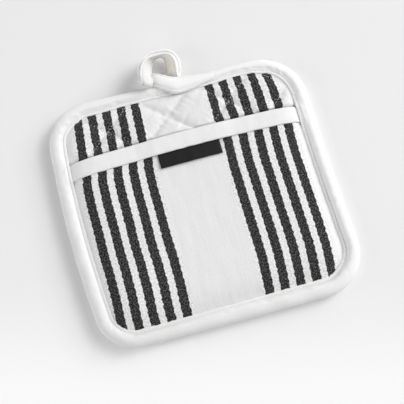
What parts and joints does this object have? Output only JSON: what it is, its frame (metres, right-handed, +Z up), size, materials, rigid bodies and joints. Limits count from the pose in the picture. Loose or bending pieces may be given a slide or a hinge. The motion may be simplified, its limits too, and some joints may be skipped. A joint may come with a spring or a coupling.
{
  "type": "pot holder",
  "caption": "Square quilted pot holder with rounded corners, a hand pocket under a folded band, a plump binding round the edge and a hanging loop.",
  "frame": {"origin": "middle of the pad on its flat underside, at the height of the surface it lies on", "axes": "+X across the stripes to the right, +Y along the stripes towards the hanging loop, +Z up out of the pocket side"},
  "size_m": [0.2164, 0.2293, 0.0208],
  "materials": {
    "quilted_cloth": "white cotton twill with pairs of groups of charcoal stripes on the front, plain white back, quilted in diamonds",
    "pocket_cloth": "white cotton twill with charcoal stripes in two groups of five",
    "band_cloth": "plain white cotton, folded and edge-stitched",
    "binding_tape": "plump white cotton binding",
    "loop_tape": "white cotton tape, a little warmer inside the loop, edge-stitched",
    "label_ribbon": "black woven ribbon, blank"
  },
  "bodies": {
    "root": {"quilted_pad": "quilted_cloth", "pocket_panel": "pocket_cloth", "pocket_band": "band_cloth", "edge_binding": "binding_tape", "hanging_loop": "loop_tape", "woven_label": "label_ribbon"}
  },
  "joints": []
}
